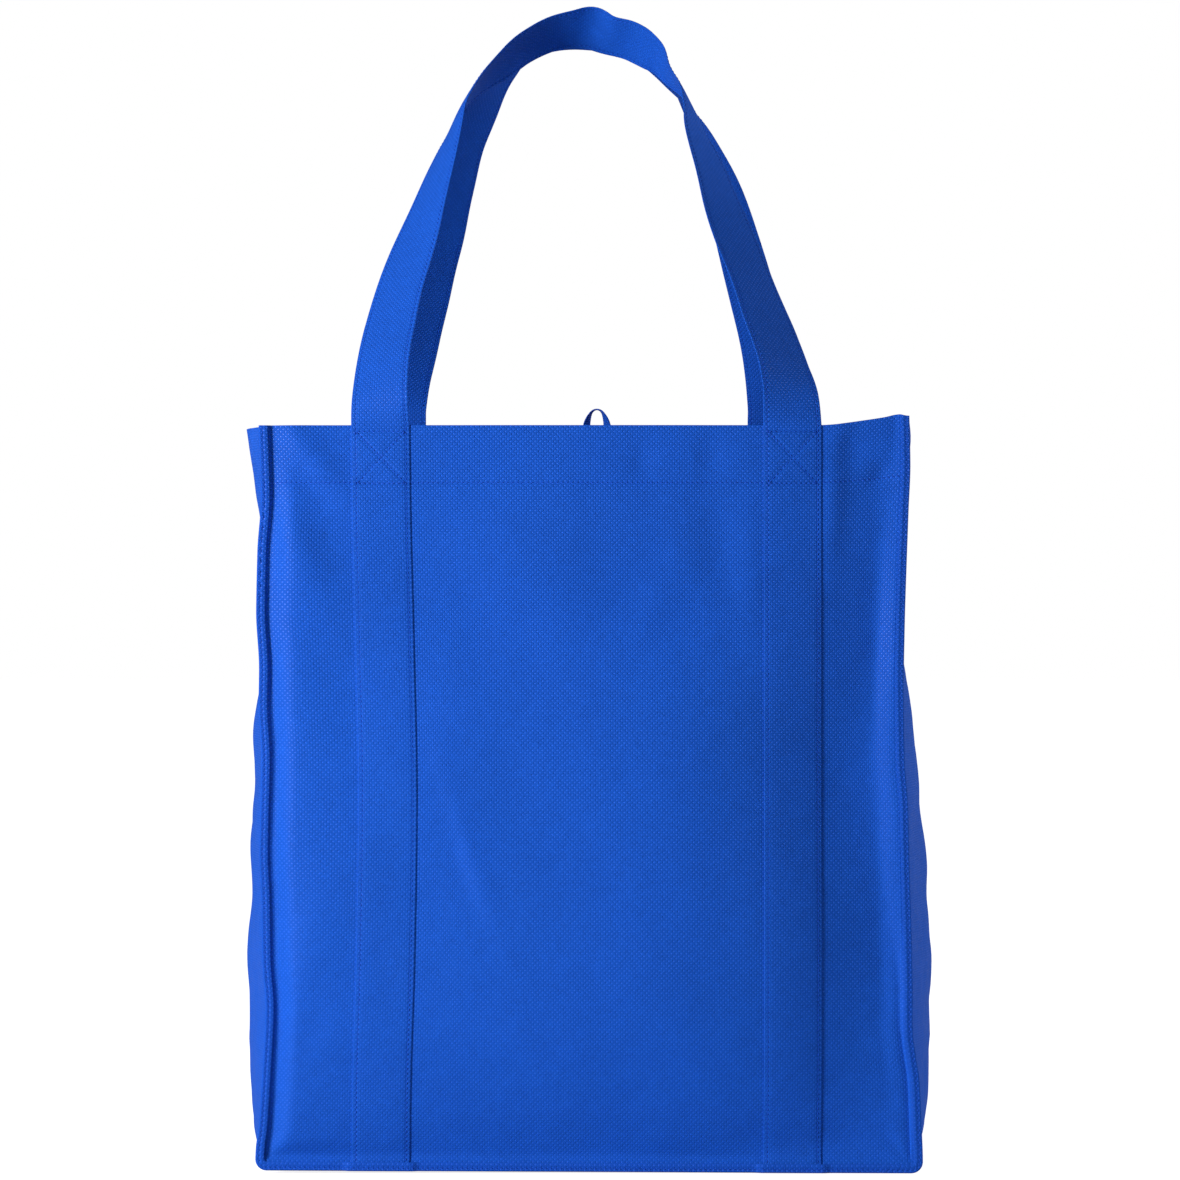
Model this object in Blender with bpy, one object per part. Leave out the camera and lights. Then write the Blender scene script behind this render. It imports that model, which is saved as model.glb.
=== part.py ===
"""Non-woven tote bag: two panels, one long gusset, edge tapes, two strap handles, a hang loop and a board.

The bag stands open on the lower edge of its two taped seams. X runs across the front, Y from the front
to the back, and Z up. The origin is at the middle of the footprint, on the ground.
"""

import math

import bmesh
import bpy
from mathutils import Vector

MM = 0.001

# Bag body
WIDTH_AT_FOOT = 336 * MM  # across the side seams, over the edge tape
WIDTH_AT_RIM = 328 * MM
DEPTH = 254 * MM  # between the outer faces of the front and back seams
RIM_HEIGHT = 378 * MM
FABRIC = 0.5 * MM
HEM = 30 * MM  # the rim's fabric is turned in by this much, and lies double
CORNER_RADIUS = 6 * MM  # of the seams at the foot
HEM_EASE = 8 * MM  # below the hem, over which what it pushes aside eases in
PANEL_SWELL = 16 * MM  # how far a panel stands proud of its seams at its middle
CREASE_REACH = 42 * MM  # from the tape's edge to where the creases have run out
VALLEY_AT_SIDE = 4.2 * MM  # the crease beside a side seam
VALLEY_AT_FOOT = 1.2 * MM  # the crease above the lower seam
VALLEY_BLEND = 12 * MM  # over which one crease passes into the other at a lower corner
SWELL_SHAPE = 2.2  # 2 is an even arc across, and more is flatter in the middle
GUSSET_SHAPE = 2.6

# Seams
SEAM_WIDTH = 4.5 * MM  # the visible leaf of the edge tape
TAPE = 0.5 * MM
CLEARANCE = 0.3 * MM  # between fabrics that are sewn on each other
TAPE_FOLD = 0.6 * MM  # the chamfer at the fold of the tape
TAPE_BACK_LEAF = 3.8 * MM  # the hidden leaf is a little narrower
TAPE_RISE = 3.2 * MM  # over which the tape climbs onto a strap's end
TAPE_MARGIN = 0.9 * MM  # beside the strap, where it is already at full height
GUSSET_LEDGE = 0.4 * MM  # the gusset turns back just inside the tape's leaf
GUSSET_BEND = 1.2 * MM  # the chamfer at that turn
FOOT_EASE = 10 * MM  # above the foot, over which the side gusset starts to swell

# Handles
STRAP_WIDTH = 29.5 * MM
STRAP = 1.6 * MM  # the strap is fabric folded on itself and pressed
STRAP_SPACING = 208 * MM  # between the middles of a handle's two legs
HANDLE_RISE = 213.5 * MM  # from the rim to the middle of the strap at the top of its arch
STRAIGHT_RISE = 20 * MM  # the stretch above the rim that still stands upright
FRONT_SWAY = -5 * MM  # how far a handle's legs lean to the side half-way up
BACK_SWAY = 2 * MM

# Hang loop
LOOP_TAPE_WIDTH = 4.6 * MM
LOOP_TAPE = 0.8 * MM
LOOP_SPACING = 10.4 * MM  # between the middles of its legs
LOOP_RISE = 17 * MM  # above the rim, to the middle of the tape
LOOP_TUCK = 20 * MM  # below the rim, sewn inside the hem
LOOP_PLACE = 5.6 * MM  # its middle, to the right of the bag's
LOOP_LEAN = 2 * MM  # its free part leans forward a little

# Board in the foot
BOARD = 1.5 * MM
BOARD_RADIUS = 8 * MM
BOARD_CLEARANCE = 1.5 * MM

# How far the side gusset swells past the seam's edge, against the share of the bag's height
SIDE_SWELL = (
    (0.0, -4.9 * MM),
    (0.03, 4 * MM),
    (0.1, 9 * MM),
    (0.19, 11.4 * MM),
    (0.31, 10.6 * MM),
    (0.41, 9.3 * MM),
    (0.52, 7.2 * MM),
    (0.68, 2 * MM),
    (0.77, 0 * MM),
    (0.88, 2.5 * MM),
    (1.0, 8 * MM),
)
# How much of the panel's swell it shows, against the share of the bag's height
SWELL_UP_THE_PANEL = (
    (0.0, 0.0),
    (0.016, 0.0),
    (0.08, 0.42),
    (0.18, 0.85),
    (0.34, 1.0),
    (0.6, 0.72),
    (0.8, 0.45),
    (1.0, 0.3),
)
# Depth of the crease beside a seam, against the share of its reach from the tape's edge
CREASE = (
    (0.0, 0.0),
    (0.114, 0.0),
    (0.148, 0.45),
    (0.205, 1.0),
    (0.333, 0.72),
    (0.667, 0.2),
    (1.0, 0.0),
)
# Half of a handle's course: share of the half spacing, share of the rise, and twist in degrees
HANDLE_COURSE = (
    (1.0, 0.0, 0),
    (1.0, 0.094, 17),
    (0.945, 0.22, 33),
    (0.86, 0.36, 41),
    (0.765, 0.50, 50),
    (0.67, 0.64, 61),
    (0.614, 0.73, 73),
    (0.56, 0.80, 88),
    (0.435, 0.88, 105),
    (0.31, 0.94, 117),
    (0.155, 0.985, 124),
    (0.0, 1.0, 133),
)
# Half of the hang loop's course above the rim: share of the half spacing, share of the rise, and twist
LOOP_COURSE = (
    (1.0, 0.06, 0),
    (1.08, 0.5, 35),
    (0.64, 0.88, 75),
)
FREE_STEPS = 44  # cross-sections along the free part of a handle
LOOP_STEPS = 36

# Distances from the tape's outer edge at which the seams and creases change course
SEAM_STATIONS = (0.8 * MM, 2.8 * MM, 4.8 * MM, 6.2 * MM, 8.6 * MM, 14 * MM, 28 * MM)
CORNER_STATIONS = (0.0, 2.2 * MM, 4.6 * MM, 8 * MM, 14 * MM)
ROWS_UP = (0.14, 0.22, 0.32, 0.44, 0.58, 0.72, 0.84)  # shares of the bag's height
GUSSET_ACROSS = (0.0, 0.28, 0.54, 0.76, 0.9)  # shares of the half depth
PANEL_ACROSS = (0.28, 0.6)  # shares of the way from the panel's middle to a strap
MITRE_LIMIT = 0.7  # the least cosine for which a bend keeps its thickness

BLUE = (0.013, 0.090, 0.560)
BOARD_GREY = (0.35, 0.34, 0.32)


def value_at(points, place):
    """The height of a smooth curve through the points, at a place along it."""
    places = [p[0] for p in points]
    if place <= places[0]:
        return points[0][1]
    if place >= places[-1]:
        return points[-1][1]
    k = next(i for i in range(len(places) - 1) if place <= places[i + 1])
    slopes = []
    for i in (k, k + 1):
        before, after = max(i - 1, 0), min(i + 1, len(points) - 1)
        left = (points[i][1] - points[before][1]) / max(places[i] - places[before], 1e-9)
        right = (points[after][1] - points[i][1]) / max(places[after] - places[i], 1e-9)
        flat = left * right <= 0
        slopes.append(0.0 if flat else 2 * left * right / (left + right))
    span = places[k + 1] - places[k]
    t = (place - places[k]) / span
    rest = 1 - t
    start = points[k][1] * (1 + 2 * t) * rest * rest + slopes[0] * span * t * rest * rest
    end = points[k + 1][1] * (3 - 2 * t) * t * t - slopes[1] * span * t * t * rest
    return start + end


def smooth(t):
    t = min(max(t, 0.0), 1.0)
    return t * t * (3 - 2 * t)


def half_width(z):
    share = z / RIM_HEIGHT
    return (WIDTH_AT_FOOT + (WIDTH_AT_RIM - WIDTH_AT_FOOT) * share) / 2


def in_hem(z):
    """1 where the fabric lies double under the rim, and 0 below."""
    return 1.0 if z > RIM_HEIGHT - HEM - 1e-6 else 0.0


def hem_shift(z):
    """The same, easing in just below the hem, for what is pushed aside by it."""
    return smooth((z - (RIM_HEIGHT - HEM - HEM_EASE)) / HEM_EASE)


def rounded(side, foot):
    """A place near a lower corner, by its distances from the side and the foot, with the corner rounded."""
    least = min(side, foot)
    radius = CORNER_RADIUS - least
    along = abs(side - foot)
    if radius <= 0 or along >= radius:
        return side, foot
    turn = math.pi / 4 * (1 - along / radius)
    near = CORNER_RADIUS - radius * math.cos(turn)
    far = CORNER_RADIUS - radius * math.sin(turn)
    return (near, far) if side <= foot else (far, near)


def rows():
    """Heights of the cross-lines of a panel, from the foot to the rim."""
    upper = [RIM_HEIGHT * share for share in ROWS_UP]
    hem = [RIM_HEIGHT - HEM - FABRIC, RIM_HEIGHT - HEM, RIM_HEIGHT - HEM / 2, RIM_HEIGHT]
    return list(SEAM_STATIONS) + upper + hem


def strap_lines(middle):
    return [middle - STRAP_WIDTH / 2, middle, middle + STRAP_WIDTH / 2]


def inner_columns():
    """Places across a panel of its upright lines between the two creases."""
    leg = STRAP_SPACING / 2
    inside = leg - STRAP_WIDTH / 2
    right = [inside * share for share in PANEL_ACROSS]
    return strap_lines(-leg) + [-x for x in reversed(right)] + [0.0] + right + strap_lines(leg)


def panel_depth(x, z):
    """How far a panel's middle surface lies behind the front plane of its seams."""
    side = half_width(z) - abs(x)
    flange = TAPE + CLEARANCE + FABRIC / 2
    which = smooth((z - side) / VALLEY_BLEND + 0.5)
    valley = VALLEY_AT_FOOT + (VALLEY_AT_SIDE - VALLEY_AT_FOOT) * which
    crease = valley * value_at(CREASE, min(side, z) / CREASE_REACH)
    flat = half_width(z) - SEAM_STATIONS[3]
    across = max(0.0, 1 - (abs(x) / flat) ** SWELL_SHAPE)
    swell = PANEL_SWELL * across * value_at(SWELL_UP_THE_PANEL, z / RIM_HEIGHT)
    return flange + crease - swell


def panel_point(x, z, face=-1):
    """A point of a panel's middle surface. face is -1 for the front panel and 1 for the back."""
    return Vector((x, face * (DEPTH / 2 - panel_depth(x, z)), z))


def seam_place(side, z, hand):
    """A point near a seam, as x and z, by its distances from the side and the foot."""
    if z < SEAM_STATIONS[-1]:
        side, z = rounded(side, z)
    return hand * (half_width(z) - side), z


def new_object(name, verts, faces, colour, roughness):
    bm = bmesh.new()
    made = [bm.verts.new(v) for v in verts]
    for face in faces:
        bm.faces.new([made[i] for i in face])
    bmesh.ops.recalc_face_normals(bm, faces=bm.faces)
    mesh = bpy.data.meshes.new(name)
    bm.to_mesh(mesh)
    bm.free()
    mesh.shade_smooth()
    mesh.set_sharp_from_angle(angle=math.radians(40))
    material = bpy.data.materials.new(name + "_material")
    material.use_nodes = True
    shader = material.node_tree.nodes["Principled BSDF"]
    shader.inputs["Base Color"].default_value = (*colour, 1)
    shader.inputs["Roughness"].default_value = roughness
    shader.inputs["Metallic"].default_value = 0.0
    mesh.materials.append(material)
    made_object = bpy.data.objects.new(name, mesh)
    bpy.context.collection.objects.link(made_object)
    return made_object


def sheet_normals(grid):
    """For each point of a grid, its normal, lengthened where the sheet bends so that its faces stay flat."""
    last_i, last_j = len(grid) - 1, len(grid[0]) - 1
    face = {}
    for i in range(last_i):
        for j in range(last_j):
            across = grid[i + 1][j + 1] - grid[i][j]
            back = grid[i][j + 1] - grid[i + 1][j]
            face[i, j] = across.cross(back).normalized()
    normals = []
    for i in range(last_i + 1):
        row = []
        for j in range(last_j + 1):
            near = [face[k] for k in ((i - 1, j - 1), (i - 1, j), (i, j - 1), (i, j)) if k in face]
            mean = sum(near, Vector()).normalized()
            lean = sum(mean.dot(n) for n in near) / len(near)
            row.append(mean / max(lean, MITRE_LIMIT))
        normals.append(row)
    return normals


def thick_sheet(name, grid, above, below, colour=BLUE, roughness=0.75):
    """A closed sheet round a grid of points. above and below give its two faces' heights at a point.

    All its fields are split along the same diagonal, so that two sheets that follow each other stay apart.
    The middle's faces come first: a CAD reader sights a point against them, and they face it squarely.
    """
    normals = sheet_normals(grid)
    count_i, count_j = len(grid), len(grid[0])
    verts = []
    for heights, sign in ((above, 1), (below, -1)):
        for i in range(count_i):
            for j in range(count_j):
                verts.append(grid[i][j] + normals[i][j] * (sign * heights(i, j)))

    def at(layer, i, j):
        return (layer * count_i + i) * count_j + j

    faces = []
    for i in sorted(range(count_i - 1), key=lambda i: abs(i - count_i // 2)):
        for j in sorted(range(count_j - 1), key=lambda j: abs(j - count_j // 2)):
            here, ahead, beside = (i, j), (i + 1, j), (i, j + 1)
            opposite = (i + 1, j + 1)
            for corners in ((here, ahead, opposite), (here, opposite, beside)):
                faces.append([at(0, *c) for c in corners])
                faces.append([at(1, *c) for c in reversed(corners)])
    border = [(i, 0) for i in range(count_i)]
    border += [(count_i - 1, j) for j in range(1, count_j)]
    border += [(i, count_j - 1) for i in range(count_i - 2, -1, -1)]
    border += [(0, j) for j in range(count_j - 2, 0, -1)]
    for a, b in zip(border, border[1:] + border[:1]):
        faces.append([at(0, *a), at(1, *a), at(1, *b), at(0, *b)])
    return new_object(name, verts, faces, colour, roughness)


def panel(name, face):
    """One panel: flat flanges in the seams, a crease beside them, a swollen middle and a double hem."""
    heights = rows()
    grid = []
    for z in heights:
        line = []
        for side in SEAM_STATIONS:
            line.append(seam_place(side, z, -1))
        line += [(x, z) for x in inner_columns()]
        for side in reversed(SEAM_STATIONS):
            line.append(seam_place(side, z, 1))
        grid.append(line)
    points = []
    for z, line in zip(heights, grid):
        depths = []
        for j, (x, place) in enumerate(line):
            edge = min(j, len(line) - 1 - j)
            side = SEAM_STATIONS[edge] if edge < len(SEAM_STATIONS) else half_width(z) - abs(x)
            depths.append(panel_point(half_width(z) - side, z, face).y)
        points.append([Vector((x, y, place)) for (x, place), y in zip(line, depths)])
    inward = -face  # the grid's own normal points to +Y or -Y
    normals_to_back = sheet_normals(points)[0][0].y > 0
    outer_is_above = normals_to_back == (inward < 0)

    def outer(i, j):
        return FABRIC / 2

    def inner(i, j):
        return FABRIC / 2 + FABRIC * in_hem(heights[i])

    faces = (outer, inner) if outer_is_above else (inner, outer)
    return thick_sheet(name, points, *faces)


def seam_path(inset, uppers, feet):
    """Points round a seam at a distance inside its edge: down the left side, along the foot and up the right.

    inset is a function of the height. uppers are heights down the side and feet are places along the foot.
    """
    base = inset(0.0)
    left = [(-(half_width(z) - inset(z)), z) for z in uppers]
    left += [seam_place(inset(base + e), base + e, -1) for e in reversed(CORNER_STATIONS[1:])]
    left += [seam_place(base, base, -1)]
    left += [seam_place(base + e, base, -1) for e in CORNER_STATIONS[1:]]
    right = [(-x, z) for x, z in reversed(left)]
    return left + [(x, base) for x in feet] + right


def upper_rows():
    return [z for z in reversed(rows()) if z >= SEAM_STATIONS[-1] - 1e-6]


def gusset():
    """One strip of fabric: up the left side, under the foot and up the right, flanged into both seams."""
    feet = [-STRAP_SPACING / 2, -STRAP_SPACING / 6, STRAP_SPACING / 6, STRAP_SPACING / 2]
    uppers = upper_rows()
    edge = TAPE + CLEARANCE
    wall = SEAM_WIDTH + GUSSET_LEDGE
    behind = edge + FABRIC + CLEARANCE + FABRIC / 2  # below the hem, from the seam's front plane

    def section(place):
        """One line of the strip round the bag: its inset and its distance behind the seam's front."""
        kind, value = place
        if kind == "flange":
            return (lambda z: value), (lambda z: behind + FABRIC * 2 * hem_shift(z))
        if kind == "bend":
            return (lambda z: wall), (lambda z: behind + GUSSET_BEND + FABRIC * 2 * hem_shift(z))
        bow = 1 - value**GUSSET_SHAPE

        def inset(z):
            return wall - (wall + value_at(SIDE_SWELL, z / RIM_HEIGHT)) * bow * min(1, z / FOOT_EASE)

        return inset, (lambda z: DEPTH / 2 * (1 - value))

    half = [("flange", edge), ("flange", wall - GUSSET_BEND), ("bend", wall)]
    half += [("wall", share) for share in reversed(GUSSET_ACROSS)]
    lines = []
    for face in (-1, 1):
        part = []
        for place in half:
            inset, depth = section(place)
            path = seam_path(inset, uppers, feet)
            part.append([Vector((x, face * (DEPTH / 2 - depth(z)), z)) for x, z in path])
        lines.append(part)
    columns = lines[0] + lines[1][-2::-1]
    grid = [list(points) for points in zip(*columns)]
    middle = len(columns) // 2
    outward_is_above = sheet_normals(grid)[0][middle].x < 0

    def outer(i, j):
        return FABRIC / 2

    def inner(i, j):
        return FABRIC / 2 + FABRIC * in_hem(grid[i][middle].z)

    faces = (outer, inner) if outward_is_above else (inner, outer)
    return thick_sheet("gusset", grid, *faces)


def edge_tape(name, face):
    """A tape folded round the edges of a panel and the gusset, all round the seam."""
    leg, half = STRAP_SPACING / 2, STRAP_WIDTH / 2
    beside = half + TAPE_MARGIN
    strap_feet = [beside + TAPE_RISE, beside, -beside, -beside - TAPE_RISE]
    feet = [-leg - d for d in strap_feet] + [leg + d for d in reversed(strap_feet)]
    uppers = upper_rows()
    middle = TAPE / 2
    stack = TAPE + 3 * CLEARANCE + 2 * FABRIC

    def lift(x, z):
        """How far the tape's front leaf is raised over a strap's lower end."""
        if z > SEAM_WIDTH + TAPE:
            return 0.0
        beyond = abs(abs(x) - leg) - beside
        return (STRAP + CLEARANCE) * smooth(1 - beyond / TAPE_RISE)

    def front(x, z):
        return middle - lift(x, z)

    def back(x, z):
        return stack + middle + FABRIC * 2 * hem_shift(z)

    section = (
        (SEAM_WIDTH, front),
        (middle + TAPE_FOLD, front),
        (middle, lambda x, z: front(x, z) + TAPE_FOLD),
        (middle, lambda x, z: back(x, z) - TAPE_FOLD),
        (middle + TAPE_FOLD, back),
        (TAPE_BACK_LEAF, back),
    )
    columns = []
    for inset, depth in section:
        path = seam_path(lambda z: inset, uppers, feet)
        columns.append([Vector((x, face * (DEPTH / 2 - depth(x, z)), z)) for x, z in path])
    grid = [list(points) for points in zip(*columns)]
    return thick_sheet(name, grid, lambda i, j: TAPE / 2, lambda i, j: TAPE / 2)


def along_curve(points, steps):
    """Points and twists evenly spaced on a smooth curve through control points."""
    fine = []
    per_span = 12
    for k in range(len(points) - 1):
        a, b = points[max(k - 1, 0)], points[k]
        c, d = points[k + 1], points[min(k + 2, len(points) - 1)]
        for n in range(per_span):
            t = n / per_span
            fine.append(
                0.5
                * (2 * b + (c - a) * t + (2 * a - 5 * b + 4 * c - d) * t**2 + (3 * b - a - 3 * c + d) * t**3)
            )
    fine.append(points[-1])
    run = [0.0]
    for a, b in zip(fine, fine[1:]):
        run.append(run[-1] + (b.xyz - a.xyz).length)
    even, k = [], 0
    for n in range(steps + 1):
        target = run[-1] * n / steps
        while k < len(run) - 2 and run[k + 1] < target:
            k += 1
        t = (target - run[k]) / max(run[k + 1] - run[k], 1e-9)
        even.append(fine[k].lerp(fine[k + 1], t))
    return even


def ribbon_rows(course, width, face):
    """Rows of three points across a ribbon that follows a course of points with twists, as 4-vectors."""
    made = []
    for k, here in enumerate(course):
        ahead, behind = course[min(k + 1, len(course) - 1)], course[max(k - 1, 0)]
        along = (ahead.xyz - behind.xyz).normalized()
        rear = Vector((0, -face, 0))
        rear = (rear - along * rear.dot(along)).normalized()
        inner = rear.cross(along) * -face
        across = inner * math.cos(here.w) - rear * math.sin(here.w)
        made.append([here.xyz + across * (width * side) for side in (-0.5, 0, 0.5)])
    return made


def handle(name, face, sway):
    """A strap sewn up the panel, free above the rim in a twisted arch, and sewn down the panel again."""
    leg = STRAP_SPACING / 2
    off = FABRIC / 2 + CLEARANCE + STRAP / 2
    sewn = []
    for z in rows()[1:]:
        across = [panel_point(x, z, face) for x in strap_lines(-leg)]
        above, below = panel_point(-leg, z + FABRIC, face), panel_point(-leg, z - FABRIC, face)
        slope = (above - below).normalized()
        out = Vector((0, face, 0))
        out = (out - slope * out.dot(slope)).normalized()
        sewn.append([p + out * off for p in across])
    rim_y = sewn[-1][1].y
    twist = math.radians(HANDLE_COURSE[-1][2])
    apex_y = face * (STRAP_WIDTH / 2 * math.sin(twist) - STRAP / 2 * math.cos(twist) + CLEARANCE)
    straight = STRAIGHT_RISE / HANDLE_RISE
    half = []
    for side, rise, turn in HANDLE_COURSE:
        lean = max(0.0, rise - straight) / (1 - straight)
        y = rim_y + (apex_y - rim_y) * lean
        half.append((side * leg, y, RIM_HEIGHT + rise * HANDLE_RISE, math.radians(turn)))
    course = [Vector((-x, y, z, turn)) for x, y, z, turn in half]
    course += [Vector(p) for p in reversed(half[:-1])]
    free = along_curve(course, FREE_STEPS)
    for point in free:
        rise = (point.z - RIM_HEIGHT) / HANDLE_RISE
        point.x += sway * math.sin(math.pi * min(max(rise, 0), 1)) ** 1.5
    arch = ribbon_rows(free, STRAP_WIDTH, face)[1:-1]
    mirrored = [[Vector((-p.x, p.y, p.z)) for p in row] for row in reversed(sewn)]
    grid = sewn + arch + mirrored
    return thick_sheet(name, grid, lambda i, j: STRAP / 2, lambda i, j: STRAP / 2, roughness=0.7)


def hang_loop():
    """A narrow tape folded into a loop and sewn inside the back panel's hem."""
    off = FABRIC * 1.5 + CLEARANCE + LOOP_TAPE / 2
    leg, top = LOOP_SPACING / 2, RIM_HEIGHT + LOOP_RISE
    half = [(leg, RIM_HEIGHT - LOOP_TUCK, 0), (leg, RIM_HEIGHT - LOOP_TUCK / 2, 0)]
    half += [(leg * side, RIM_HEIGHT + LOOP_RISE * rise, turn) for side, rise, turn in LOOP_COURSE]
    parts = []
    for side in (-1, 1):
        part = []
        for x, z, turn in half:
            free = max(0.0, z - RIM_HEIGHT) / LOOP_RISE
            sewn_to = panel_point(LOOP_PLACE + side * x, min(z, RIM_HEIGHT), 1).y - off
            place = (LOOP_PLACE + side * x, sewn_to - LOOP_LEAN * free, z, math.radians(turn))
            part.append(Vector(place))
        parts.append(part)
    crown = Vector((LOOP_PLACE, parts[0][-1].y, top, math.radians(90)))
    course = parts[0] + [crown] + parts[1][::-1]
    grid = ribbon_rows(along_curve(course, LOOP_STEPS), LOOP_TAPE_WIDTH, 1)
    return thick_sheet("hang_loop", grid, lambda i, j: LOOP_TAPE / 2, lambda i, j: LOOP_TAPE / 2)


def bottom_board():
    """The stiff board that lies loose on the gusset's foot and keeps the bag square."""
    base = SEAM_WIDTH + GUSSET_LEDGE + FABRIC / 2 + CLEARANCE
    side = SEAM_WIDTH + GUSSET_LEDGE + FABRIC + BOARD_CLEARANCE
    front = TAPE + CLEARANCE + FABRIC + VALLEY_AT_FOOT + BOARD_CLEARANCE
    half_x, half_y = WIDTH_AT_FOOT / 2 - side, DEPTH / 2 - front
    outline = []
    for k in range(4):
        corner = (half_x * (1, -1, -1, 1)[k], half_y * (1, 1, -1, -1)[k])
        for n in range(5):
            angle = math.pi / 2 * (k + n / 4)
            x = corner[0] - math.copysign(BOARD_RADIUS, corner[0]) + BOARD_RADIUS * math.cos(angle)
            y = corner[1] - math.copysign(BOARD_RADIUS, corner[1]) + BOARD_RADIUS * math.sin(angle)
            outline.append((x, y))
    count = len(outline)
    verts = [Vector((x, y, z)) for z in (base, base + BOARD) for x, y in outline]
    faces = [list(range(count)), list(range(count, 2 * count))]
    for k in range(count):
        after = (k + 1) % count
        faces.append([k, after, after + count, k + count])
    return new_object("bottom_board", verts, faces, BOARD_GREY, 0.85)


def main():
    for old in list(bpy.data.objects):
        bpy.data.objects.remove(old, do_unlink=True)
    panel("front_panel", -1)
    panel("back_panel", 1)
    gusset()
    edge_tape("front_edge_tape", -1)
    edge_tape("back_edge_tape", 1)
    handle("front_handle", -1, FRONT_SWAY)
    handle("back_handle", 1, BACK_SWAY)
    hang_loop()
    bottom_board()


main()
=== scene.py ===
"""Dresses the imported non-woven tote bag with its embossed fabric, taped seams, twisted handles and stitches.

The bag stands on the floor at Z = 0. X runs across the front panel, Y from the front to the back, Z up.
"""

import math

import bpy
import numpy as np
from bpy.props import FloatProperty, FloatVectorProperty, PointerProperty
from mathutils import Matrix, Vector


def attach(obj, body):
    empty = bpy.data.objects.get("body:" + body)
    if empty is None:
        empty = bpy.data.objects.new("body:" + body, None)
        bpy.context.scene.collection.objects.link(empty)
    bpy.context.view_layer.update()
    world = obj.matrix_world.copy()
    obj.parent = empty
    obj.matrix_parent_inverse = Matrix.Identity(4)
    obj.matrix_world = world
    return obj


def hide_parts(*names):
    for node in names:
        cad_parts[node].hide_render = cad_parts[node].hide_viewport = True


bl_info = {
    "name": "Non-woven tote bag",
    "version": (1, 0, 0),
    "blender": (4, 5, 0),
    "location": "View3D > Sidebar > Tote Bag",
    "description": "Makes the fabric, seams, handles and stitches of a non-woven tote bag",
    "category": "Object",
}

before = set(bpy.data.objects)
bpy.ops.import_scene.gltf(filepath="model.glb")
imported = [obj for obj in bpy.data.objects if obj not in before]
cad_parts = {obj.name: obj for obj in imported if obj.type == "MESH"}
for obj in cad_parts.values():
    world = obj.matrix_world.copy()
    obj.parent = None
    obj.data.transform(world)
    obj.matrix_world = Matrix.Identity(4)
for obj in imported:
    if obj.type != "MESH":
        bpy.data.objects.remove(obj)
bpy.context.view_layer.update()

MM = 0.001
FRONT, BACK = -1, 1

# Swell of the panels and of the side gusset, against the share of the bag's height
SWELL_UP_THE_PANEL = (
    (0, 0), (0.016, 0), (0.09, 0.4), (0.19, 0.84), (0.34, 1), (0.6, 0.72), (0.8, 0.45), (1, 0.3),
)
LEFT_SWELL = (
    (0, -4.9), (0.03, 6), (0.1, 10.6), (0.2, 12.2), (0.32, 10.6), (0.42, 9.6), (0.56, 8.2), (0.68, 4),
    (0.78, 0.5), (0.88, 3), (1, 9.5),
)
RIGHT_SWELL = (
    (0, -4.9), (0.02, 3.5), (0.06, 8.5), (0.106, 10), (0.129, 11), (0.15, 13), (0.172, 15), (0.25, 16),
    (0.31, 15), (0.38, 13.3), (0.45, 11.6), (0.53, 10.4), (0.6, 7.2), (0.7, 1.5), (0.85, -0.5), (1, 3),
)
# Depth of the crease beside a seam, against the distance in millimetres from the seam's edge. It starts at
# CREASE_START and is deepest CREASE_RUN further in
CREASE = ((0, 0), (4.8, 0), (6.2, 0.45), (8.6, 1), (14, 0.72), (28, 0.2), (42, 0))
CREASE_START, CREASE_RUN = 4.8, 3.8
# In millimetres: the foot crease's depth, the back creases' depth, and how far they lie from the seam's edge
FOOT_DEPTH, BACK_DEPTH, BACK_CREASE = 1.2, 4.2, 8.6
# Where the front creases are deepest: height, and distance from the seam's edge, in millimetres
LEFT_CREASE = ((0, 6.5), (60, 8), (150, 8.6), (220, 7.6), (260, 6.1), (300, 5.8), (340, 5.9), (378, 6.2))
RIGHT_CREASE = (
    (0, 6.2), (60, 6.4), (98, 7.5), (133, 13), (172, 20), (199, 23), (240, 18), (275, 15), (311, 14),
    (350, 10), (378, 8),
)
# How deep they are: height and depth, in millimetres
LEFT_DEPTH = ((0, 1.8), (60, 1.5), (150, 1.4), (230, 1.5), (265, 1.3), (310, 1.1), (345, 1.5), (378, 1.6))
RIGHT_DEPTH = ((0, 2.0), (60, 1.6), (120, 1.8), (170, 3.2), (250, 3.4), (300, 2.4), (340, 1.2), (378, 0.7))
# How far a front seam's edge lies inside its straight line: height and distance, in millimetres
LEFT_WANDER = (
    (0, 0.4), (11, 0.7), (22, 2.0), (47, 3.4), (82, 4.8), (107, 2.9), (138, 2.1), (163, 0.9), (208, 1.4),
    (239, -0.3), (254, -0.2), (285, -2), (314, -1.7), (340, -0.2), (378, -1.7),
)
RIGHT_WANDER = (
    (0, -2.1), (8, -2.1), (23, -1.7), (40, -1.3), (49, -0.8), (57, 0.4), (74, 2.2), (95, 2.0), (170, 3.1),
    (184, 3.2), (210, 4.8), (243, 5.0), (277, 4.2), (304, 3.1), (333, 1.7), (356, 0.5), (378, 0.8),
)
# How far the front panel's left strap bows to the right: height and distance, in millimetres
STRAP_BOW = ((0, 0), (40, 0.6), (110, 2.8), (190, 3.9), (270, 2.2), (330, 0.6), (378, 0))
# The front rim's rise towards its right corner: place across and rise, in millimetres
RIM_FLARE = ((116, 0), (124, 0.4), (131, 1.2), (139, 2.3), (151, 4.1), (159, 5.6), (162, 5.0), (168, 4.6))
# The height from which the front rises with its rim
FLARE_START = 0.31
# How high the front's left foot is off the ground, and the width and the height over which it comes down
FOOT_LIFT, LIFT_WIDTH, LIFT_HEIGHT = 1.5 * MM, 0.336, 0.2
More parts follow.
